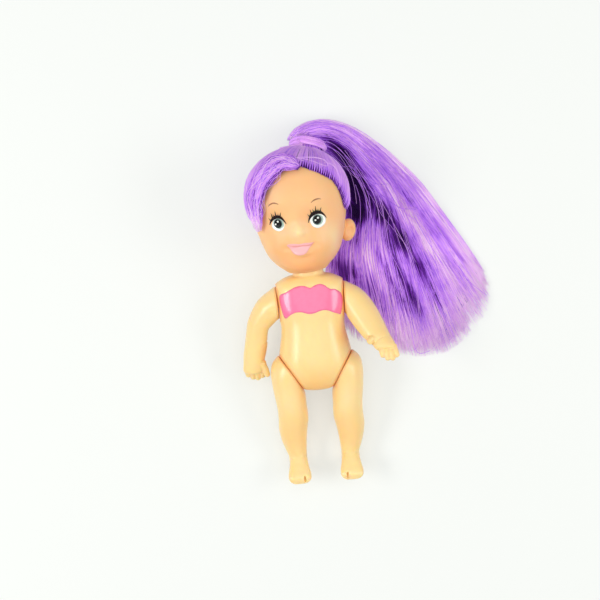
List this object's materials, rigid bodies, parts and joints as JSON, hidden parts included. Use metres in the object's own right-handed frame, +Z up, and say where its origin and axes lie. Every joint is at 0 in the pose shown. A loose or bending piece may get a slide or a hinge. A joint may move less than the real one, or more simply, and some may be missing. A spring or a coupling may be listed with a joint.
{
  "type": "fashion doll",
  "caption": "Jointed plastic fashion doll with child proportions, lying on its back, with turning head, swinging arms and legs, and long rooted hair in a high ponytail fanned out to one side.",
  "frame": {"origin": "centre of the overall box on the surface that the doll lies on", "axes": "+X to the doll's left, +Y from the feet towards the crown, +Z up from the surface, which is the doll's front"},
  "size_m": [0.0896, 0.1312, 0.0396],
  "materials": {
    "body_plastic": "moulded, warm skin tone, soft gloss",
    "head_vinyl": "soft vinyl, warm skin tone, satin",
    "plug_plastic": "moulded, hidden",
    "lilac_hair": "straight synthetic hair fibre, lilac",
    "pale_lilac_hair": "straight synthetic hair fibre, pale lilac",
    "elastic": "thin hair elastic"
  },
  "bodies": {
    "torso": {"front_body_shell": "body_plastic", "back_body_shell": "body_plastic", "neck_plug": "plug_plastic"},
    "head": {"head_shell": "head_vinyl", "scalp_hair": "lilac_hair", "fringe_lock": "pale_lilac_hair", "hair_elastic": "elastic", "wrap_lock": "pale_lilac_hair"},
    "ponytail": {"ponytail": "lilac_hair"},
    "right_arm": {"right_arm": "body_plastic", "right_shoulder_plug": "plug_plastic"},
    "left_arm": {"left_arm": "body_plastic", "left_shoulder_plug": "plug_plastic"},
    "right_leg": {"right_leg": "body_plastic", "right_hip_plug": "plug_plastic"},
    "left_leg": {"left_leg": "body_plastic", "left_hip_plug": "plug_plastic"}
  },
  "joints": [
    {"name": "head_turn", "type": "hinge", "parent": "torso", "child": "head", "pos_m": [-0.01828, 0.0105, 0.01701], "axis": [-0.0576, 0.9841, 0.1679], "range_deg": [-85, 85]},
    {"name": "ponytail_trail", "type": "hinge", "parent": "head", "child": "ponytail", "pos_m": [-0.01828, 0.0105, 0.01701], "axis": [-0.0576, 0.9841, 0.1679], "range_deg": [-85, 85], "deforming": ["ponytail"]},
    {"name": "right_shoulder", "type": "hinge", "parent": "torso", "child": "right_arm", "pos_m": [-0.03003, 0.00064, 0.01533], "axis": [-0.999, -0.043, -0.0073], "range_deg": [-50, 150]},
    {"name": "left_shoulder", "type": "hinge", "parent": "torso", "child": "left_arm", "pos_m": [-0.00653, 0.00064, 0.01533], "axis": [-0.999, 0.043, 0.0073], "range_deg": [-60, 115]},
    {"name": "right_hip", "type": "hinge", "parent": "torso", "child": "right_leg", "pos_m": [-0.02738, -0.02474, 0.011], "axis": [-0.8473, -0.531, -0.011], "range_deg": [-30, 90]},
    {"name": "left_hip", "type": "hinge", "parent": "torso", "child": "left_leg", "pos_m": [-0.00918, -0.02474, 0.011], "axis": [-0.8473, 0.531, 0.011], "range_deg": [-30, 90]}
  ],
  "couplings": [
    {"joint": "ponytail_trail", "follows": "head_turn", "ratio": -1}
  ]
}
